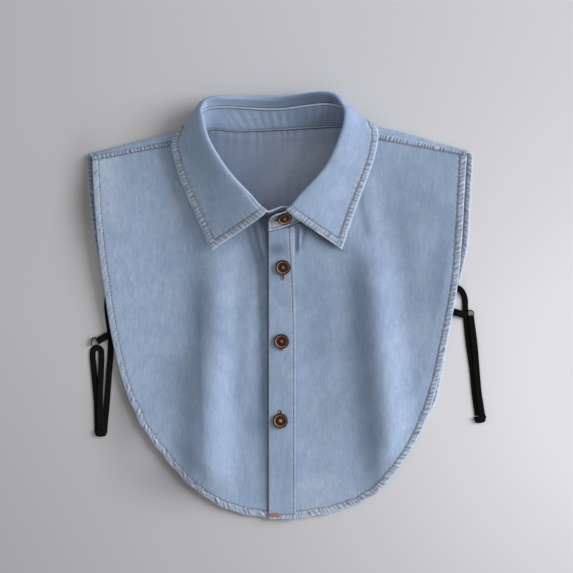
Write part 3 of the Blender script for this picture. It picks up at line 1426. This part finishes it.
def denim():
    material, tree, shader = nodes_of("denim_cloth", {
        "Roughness": 0.92, "Specular IOR Level": 0.22, "Sheen Weight": 0.12, "Sheen Roughness": 0.5,
    })
    cloth = attribute(tree, "cloth", "Vector")
    blotches = noise(tree, cloth, (24, 17, 24), 4.0, 0.6)
    streaks = noise(tree, cloth, (620, 46, 60), 3.0, 0.6)
    slubs = noise(tree, cloth, (1500, 170, 200), 2.0, 0.5)
    picks = noise(tree, cloth, (260, 1500, 200), 2.0, 0.5)
    mottle = noise(tree, cloth, (190, 130, 150), 3.0, 0.6)
    patches = noise(tree, cloth, (34, 17, 25), 3.0, 0.6)
    clouds = noise(tree, cloth, (105, 62, 80), 3.0, 0.6)
    colour = mixed(tree, ramp(tree, blotches, 0.36, 0.66), DENIM_DEEP, DENIM_LIGHT)
    colour = mixed(tree, 0.38, colour, DENIM_MAIN)
    for pattern, low, high, amount, tint in (
        (clouds, 0.5, 0.7, 0.55, DENIM_LIGHT),
        (clouds, 0.5, 0.3, 0.5, DENIM_DEEP),
        (streaks, 0.45, 0.72, 0.5, DENIM_LIGHT),
        (streaks, 0.5, 0.26, 0.4, DENIM_DEEP),
        (mottle, 0.55, 0.3, 0.3, DENIM_DEEP),
        (slubs, 0.55, 0.8, 0.4, DENIM_WORN),
        (slubs, 0.46, 0.22, 0.32, DENIM_DEEP),
        (patches, 0.5, 0.66, 0.24, DENIM_VIOLET),
        (patches, 0.5, 0.36, 0.3, DENIM_TEAL),
    ):
        colour = mixed(tree, times(tree, ramp(tree, pattern, low, high), amount), colour, tint)
    colour = mixed(tree, times(tree, attribute(tree, "inside"), 0.8), colour, DENIM_INSIDE)
    colour = mixed(tree, times(tree, attribute(tree, "shade"), 0.9), colour, DENIM_HOLLOW)
    wear = times(tree, attribute(tree, "wear"), ramp(tree, mottle, 0.1, 0.62))
    colour = mixed(tree, times(tree, wear, 0.9), colour, DENIM_WORN)
    tree.links.new(colour, shader.inputs["Base Color"])
    weave = maths(tree, "ADD", times(tree, slubs, 0.5), times(tree, picks, 0.4))
    weave = maths(tree, "ADD", weave, times(tree, mottle, 0.5))
    raised(tree, shader, weave, 0.45, 0.0006)
    return material


def thread_material():
    material, tree, shader = nodes_of("stitching_thread", {"Roughness": 0.6, "Sheen Weight": 0.15})
    colour = mixed(tree, attribute(tree, "tint"), THREAD_DARK, THREAD_PALE)
    tree.links.new(colour, shader.inputs["Base Color"])
    raised(tree, shader, noise(tree, object_place(tree), (1400, 1400, 1400)), 0.5, 0.0003)
    return material


def plain(name, colour, roughness):
    material, tree, shader = nodes_of(name, {"Base Color": (*colour, 1), "Roughness": roughness})
    raised(tree, shader, noise(tree, object_place(tree), (1500, 1500, 1500)), 0.5, 0.0003)
    return material


def elastic():
    material, tree, shader = nodes_of("black_elastic", {"Roughness": 0.8, "Specular IOR Level": 0.1})
    cloth = attribute(tree, "cloth", "Vector")
    ribs = noise(tree, cloth, (2600, 700, 700))
    broad = noise(tree, cloth, (60, 300, 60))
    dark, mid, brown = ELASTIC_COLOURS
    colour = mixed(tree, ramp(tree, ribs, 0.35, 0.8), dark, mid)
    colour = mixed(tree, times(tree, broad, 0.3), colour, brown)
    tree.links.new(colour, shader.inputs["Base Color"])
    raised(tree, shader, ribs, 0.6, 0.0004)
    return material


def horn():
    """Dark brown button, with a paler worn rim."""
    material, tree, shader = nodes_of("brown_button", {"Roughness": 0.4, "Specular IOR Level": 0.3})
    clouds = noise(tree, object_place(tree), (320, 320, 500), 3.0)
    dark, brown, copper = HORN_COLOURS
    colour = mixed(tree, ramp(tree, clouds, 0.35, 0.75), dark, brown)
    colour = mixed(tree, times(tree, attribute(tree, "rim"), 0.85), colour, copper)
    tree.links.new(colour, shader.inputs["Base Color"])
    return material


# Where the floor is dimmer beside the collar: middle, half sizes, how much.
FLOOR_SHADOWS = [
    (-0.188, 0.105, 0.016, 0.045, 0.34),
    (-0.15, -0.1, 0.022, 0.05, 0.3),
    (-0.1, -0.165, 0.04, 0.026, 0.3),
]


def soft_spot(tree, x, y, middle_x, middle_y, half_x, half_y, strength):
    across = maths(tree, "DIVIDE", maths(tree, "SUBTRACT", x, middle_x), half_x)
    along = maths(tree, "DIVIDE", maths(tree, "SUBTRACT", y, middle_y), half_y)
    squares = maths(tree, "ADD", times(tree, across, across), times(tree, along, along))
    return times(tree, maths(tree, "EXPONENT", times(tree, squares, -1.0)), strength)


def floor_material():
    """Pale grey paper, lighter towards one side."""
    material, tree, shader = nodes_of("pale_floor", {"Roughness": 0.85, "Specular IOR Level": 0.2})
    split = add_node(tree, "ShaderNodeSeparateXYZ", {"Vector": object_place(tree)})
    x, y = split.outputs[0], split.outputs[1]
    level = maths(tree, "ADD", times(tree, x, FLOOR_ACROSS), FLOOR_TONE)
    level = maths(tree, "ADD", level, times(tree, maths(tree, "MINIMUM", y, 0.0), FLOOR_DOWN))
    level = maths(tree, "ADD", level, soft_spot(tree, x, y, *FLOOR_GLOW))
    level = maths(tree, "MAXIMUM", maths(tree, "MINIMUM", level, FLOOR_TONES[1]), FLOOR_TONES[0])
    for spot in FLOOR_SHADOWS:
        level = times(tree, level, maths(tree, "SUBTRACT", 1.0, soft_spot(tree, x, y, *spot)))
    colour = mixed(tree, level, (0, 0, 0), FLOOR_COLOUR)
    tree.links.new(colour, shader.inputs["Base Color"])
    return material


# Making everything.
MATERIALS = {
    "denim": denim(),
    "rust": plain("rust_thread", (0.5, 0.2, 0.1), 0.6),
    "slit": plain("dark_slit", (0.012, 0.012, 0.016), 0.9),
    "button": horn(),
    "elastic": elastic(),
    "thread": thread_material(),
}


def keep(piece, material, nodes=()):
    piece.data.materials.clear()
    piece.data.materials.append(MATERIALS[material])
    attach(piece, "root")
    if nodes:
        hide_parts(*nodes)
    return piece


# Flat sizes of the cut pieces, in metres.
FLAT = {
    "front_left": (0.196, 0.372),
    "front_right": (0.178, 0.378),
    "back_panel": (0.374, 0.381),
    "collar_fall": (0.452, 0.083),
    "collar_stand": (0.44, 0.04),
    "placket": (0.027, 0.283),
}


def line_at_y(sheet, y, x_from, x_to, step=0.4):
    """Points and normals on the placket along a level line."""
    row = np.interp(y, *ordered(sheet.grid[:, 10, 1], np.arange(len(sheet.s))))
    x = np.arange(x_from, x_to, step)
    columns = np.interp(x, *ordered(sheet.grid[int(row), :, 0], np.arange(sheet.grid.shape[1])))
    return sheet.path(np.full(len(x), row), columns)


def ordered(values, numbers):
    order = np.argsort(values)
    return values[order], numbers[order]


def placket_stitches(threads, band):
    rows = np.arange(2, len(band.s) - 2)
    numbers = np.arange(band.grid.shape[1])
    wanted = placket_stitch(band.grid[:, 10, 1])
    columns = [np.interp(wanted[i], *ordered(band.grid[i, :, 0], numbers)) for i in rows]
    points, normals = band.path(rows, np.array(columns))
    threads.row(points, normals, 150, 0.36)
    points, normals = line_at_y(band, PLACKET_BOTTOM + PLACKET_HEM, 0.8, PLACKET_RIGHT - 0.4)
    threads.row(points, normals, 151, 0.2)


TACK_Y = -200.9
TACK_PLACES = np.arange(-9.0, 0.6, 0.42)
TACK_ARCH = np.array([-0.3, 0.35, 0.6, 0.68, 0.6, 0.35, -0.3])


def bar_tack(threads):
    """The close rust-coloured stitches at the foot of the placket."""
    chance = np.random.default_rng(160)
    t = np.linspace(-1, 1, len(TACK_ARCH))
    facing = np.tile(np.array([0.0, 0.0, 1.0]), (1, len(t), 1))
    for k, x in enumerate(TACK_PLACES):
        middle = TACK_Y + chance.uniform(-0.25, 0.25)
        half = 1.75 if 1 < k < 20 else 1.3
        lean = 0.18 if k % 2 else -0.18
        y = middle + half * t
        height = placket_height(y) + PLACKET / 2 + 0.35 + TACK_ARCH * 0.55
        line = np.stack([x + lean * t, y, height], axis=-1)
        threads.add(line[None], facing, np.full(len(t), 0.3), np.array([0.5 + chance.uniform(-0.2, 0.2)]))


BUTTONHOLE_LENGTH = 15.5
BUTTONHOLE_HALF = 1.45
WHIP_PITCH = 0.45
# How far each buttonhole's middle lies past its button, in the direction it runs.
BUTTONHOLE_SHIFT = {"button_stand": 2.6, "button_upper": -4.2, "button_middle": -1.2, "button_lower": 2.4}


def buttonhole_outline():
    """Points round a buttonhole and the outward direction at each, both level."""
    half = BUTTONHOLE_HALF
    straight = BUTTONHOLE_LENGTH / 2 - half
    runs = (2 * straight, math.pi * half, 2 * straight, math.pi * half)
    around = 2 * math.pi * half + 4 * straight
    steps = int(around / WHIP_PITCH)
    path = []
    outward = []
    for k in range(steps):
        d = around * k / steps
        for part, run in enumerate(runs):
            if d <= run:
                break
            d -= run
        side = 1 if part in (0, 1) else -1
        if part in (0, 2):
            path.append((side * (d - straight), -side * half))
            outward.append((0, -side))
        else:
            n = (side * math.sin(d / half), -side * math.cos(d / half))
            path.append((side * straight + half * n[0], half * n[1]))
            outward.append(n)
    return np.array(path), np.array(outward)


def buttonhole(threads, slits, centre, along, up):
    """A worked buttonhole: whipping round a slit. along and up are unit vectors at its centre."""
    across = np.cross(up, along)
    path, outward = buttonhole_outline()
    steps = len(path)
    t = np.linspace(-1, 1, 5)
    chance = np.random.default_rng(int(abs(centre[1]) * 10))
    reach = t[None, :] * 0.62 * (1 + chance.uniform(-0.15, 0.15, (steps, 1)))
    flat = path[:, None, :] + outward[:, None, :] * reach[..., None]
    lift = np.repeat(0.3 * (1 - t[None, :] ** 2), steps, axis=0)
    points = centre + flat[..., :1] * along + flat[..., 1:] * across + lift[..., None] * up
    facing = np.tile(up, (steps, len(t), 1))
    threads.add(points, facing, np.full(len(t), 0.26), 0.5 + chance.uniform(-0.2, 0.2, steps))
    dark = np.linspace(-1, 1, 9)
    slit = dark * (BUTTONHOLE_LENGTH / 2 - BUTTONHOLE_HALF * 0.6)
    line = centre + along * slit[:, None] + up * 0.05
    slits.add(line[None], np.tile(up, (1, len(dark), 1)), 0.42 * np.sqrt(1 - 0.9 * dark**6), np.zeros(1))


def buttonholes(threads, slits):
    for name, at, up in button_places():
        along = np.array([0.0, 1.0, 0.0])
        if name == "button_stand":
            along = unit(seam_at(np.array(17.6)) - seam_at(np.array(16.6)))
        along = unit(along - up * float(np.dot(along, up)))
        base = at - up * (GAP - 0.12)
        buttonhole(threads, slits, base + along * BUTTONHOLE_SHIFT[name], along, up)


def stand_stitches(threads, stand):
    rows = np.arange(3, len(stand.s) - 3)
    for number, (side, from_top) in enumerate(((1, False), (1, True), (-1, False), (-1, True))):
        points, normals = stand.path(rows, stand_column(stand, from_top)[rows], side)
        threads.row(points, normals, 140 + number, 0.1)


def sewn(name, *rows):
    """One piece of thread with the given rows of stitches."""
    threads = Threads()
    for row in rows:
        row(threads)
    return keep(threads.build(name), "thread")


def placket_sewing(band):
    whipping = Threads()
    slits = Threads()
    tack = Threads()
    buttonholes(whipping, slits)
    bar_tack(tack)
    return [
        sewn("placket_stitches", lambda t: placket_stitches(t, band)),
        keep(whipping.build("buttonhole_stitches"), "thread"),
        keep(slits.build("buttonhole_slits"), "slit"),
        keep(tack.build("bar_tack"), "rust"),
    ]


def sewing(sheets, left_seam, right_seam):
    """The small pieces that go with each sheet."""
    left_strip = keep(build_sheet("left_shoulder_seam", left_seam), "denim")
    right_strip = keep(build_sheet("right_shoulder_seam", right_seam), "denim")
    left_stitches = sewn(
        "left_stitches",
        lambda t: panel_stitches(t, sheets["front_left"], 101, 0.25),
        lambda t: seam_stitches(t, left_seam, 121, 0.12),
    )
    right_stitches = sewn(
        "right_stitches",
        lambda t: panel_stitches(t, sheets["front_right"], 102, 0.28),
        lambda t: seam_stitches(t, right_seam, 131, 0.25),
    )
    return {
        "front_left": [left_strip, left_stitches],
        "front_right": [right_strip, right_stitches],
        "back_panel": [sewn("back_stitches", lambda t: panel_stitches(t, sheets["back_panel"], 103, 0.4))],
        "collar_fall": [sewn("fall_stitches", lambda t: fall_stitches(t, sheets["collar_fall"], 111, 0.3))],
        "collar_stand": [sewn("stand_stitches", lambda t: stand_stitches(t, sheets["collar_stand"]))],
        "placket": placket_sewing(sheets["placket"]),
    }


def make_cloth():
    left = front_sheet(LEFT_FRONT_EDGE, LEFT_SHOULDER_ROW, NECK_END_LEFT, LEFT_DROP, 11, 0.6, -1.2)
    right = front_sheet(RIGHT_FRONT_EDGE, RIGHT_SHOULDER_ROW, NECK_END_RIGHT, RIGHT_DROP, 21, 1.3, 0.7)
    sheets = {
        "front_left": neck_shadow(streaked(left, LEFT_STREAKS)),
        "front_right": streaked(right, RIGHT_STREAKS),
        "back_panel": back_sheet(),
        "collar_fall": fall_sheet(),
        "collar_stand": stand_sheet(),
        "placket": placket_sheet(),
    }
    tree = drop_tree([left, right, sheets["back_panel"]])
    left_seam = seam_sheet(LEFT_SHOULDER_ROW, LEFT_FRONT_EDGE[0], (1.7, 1.7, 0.4), (3.7, 3.7), tree, 41)
    right_seam = seam_sheet(RIGHT_SHOULDER_ROW, RIGHT_FRONT_EDGE[0], (4.4, 1.0, 1.8), (3.6, 2.4), tree, 47)
    with_pieces = sewing(sheets, left_seam, right_seam)
    for name, sheet in sheets.items():
        piece = keep(build_sheet(name + "_cloth", sheet), "denim", [name])
        width, length = FLAT[name]
        area = min(sheet.area(), width * length)


def make_straps():
    for name in ROUTES:
        keep(build_sheet(name + "_cloth", strap_sheet(name)), "elastic", [name])
    for name in STRAP_ENDS:
        keep(strap_end(name), "elastic", [name])


def button_thread(name, at, normal):
    """The crossed threads that hold a button, and their knot."""
    threads = Threads()
    turn = np.array(placed(normal, at))[:3, :3].T

    def add(line, radii, tone):
        threads.add((line @ turn + at)[None], np.tile(normal, (1, len(line), 1)), radii, np.array([tone]))

    t = np.linspace(0, 1, 9)
    tone = 0.7 if name == "button_lower" else 0.15
    side = BUTTON_HOLE_OFFSET
    corners = [((-side, -side), (side, side)), ((-side, side), (side, -side))]
    for number, ((x0, y0), (x1, y1)) in enumerate(corners):
        for shift in (-THREAD_APART, THREAD_APART):
            x = x0 + (x1 - x0) * t + shift * (y1 - y0) / 3
            y = y0 + (y1 - y0) * t - shift * (x1 - x0) / 3
            z = BUTTON_DISH - 0.9 + 1.35 * clamp(np.sin(math.pi * t) * 2.2) + 0.2 * number
            add(np.stack([x, y, z], axis=-1), np.full(len(t), BUTTON_THREAD), tone)
    knot = np.array([[-0.45, 0, 0], [0, 0, 0.1], [0.45, 0, 0]]) + np.array([0, 0, BUTTON_DISH + 0.85])
    add(knot, np.array([0.3, 0.5, 0.3]), 1.0)
    keep(threads.build(name + "_thread"), "thread")


def make_buttons():
    mesh = button_mesh()
    places = np.array([v.co[:] for v in mesh.vertices]) / MM
    radius = np.hypot(places[:, 0], places[:, 1])
    on_top = smooth((places[:, 2] - BUTTON_DISH - 0.05) / 0.25)
    rim = bump(radius - (BUTTON_RADIUS - RIM_INSIDE), 0.4) * on_top
    layer = mesh.attributes.new("rim", "FLOAT", "POINT")
    layer.data.foreach_set("value", rim.astype(np.float32))
    for name, at, normal in button_places():
        copy = mesh.copy()
        copy.transform(placed(normal, at))
        keep(add_object(name + "_horn", copy), "button", [name])
        button_thread(name, at, normal)


FLOOR_SIZE = 6.0  # metres, from its middle to its sides
SUN_ELEVATION = 25  # degrees
SUN_BEARING = 14
SUN_SOFTNESS = 38
SUN_ENERGY = 3.1
SKY_STRENGTH = 0.42
CAMERA_DISTANCE = 8.0  # metres
CAMERA_OVER = (0.00672, 0.01872)
PICTURE_WIDTH = 0.55008
SENSOR = 36


def make_stage():
    size = FLOOR_SIZE
    mesh = bpy.data.meshes.new("floor")
    corners = [(-size, -size, 0), (size, -size, 0), (size, size, 0), (-size, size, 0)]
    mesh.from_pydata(corners, [], [(0, 1, 2, 3)])
    floor = add_object("floor", mesh)
    floor.location.z = -0.0001
    floor.data.materials.append(floor_material())

    key = bpy.data.lights.new("key", "SUN")
    key.energy = SUN_ENERGY
    key.angle = math.radians(SUN_SOFTNESS)
    key.color = (0.985, 0.99, 1.0)
    sun = add_object("key", key)
    elevation = math.radians(SUN_ELEVATION)
    bearing = math.radians(SUN_BEARING)
    towards = Vector((
        math.cos(elevation) * math.cos(bearing),
        math.cos(elevation) * math.sin(bearing),
        math.sin(elevation),
    ))
    sun.rotation_euler = towards.to_track_quat("Z", "Y").to_euler()

    world = bpy.data.worlds.new("soft_sky")
    world.use_nodes = True
    background = world.node_tree.nodes["Background"]
    background.inputs["Color"].default_value = (1.0, 0.98, 0.93, 1)
    background.inputs["Strength"].default_value = SKY_STRENGTH
    bpy.context.scene.world = world


def make_camera():
    camera = bpy.data.cameras.new("camera")
    camera.sensor_width = SENSOR
    camera.lens = SENSOR * CAMERA_DISTANCE / PICTURE_WIDTH
    camera.clip_end = 60
    eye = add_object("camera", camera)
    eye.location = (*CAMERA_OVER, CAMERA_DISTANCE)
    bpy.context.scene.camera = eye


make_cloth()
make_straps()
make_buttons()
make_stage()
make_camera()
bpy.context.scene.view_settings.view_transform = "Standard"
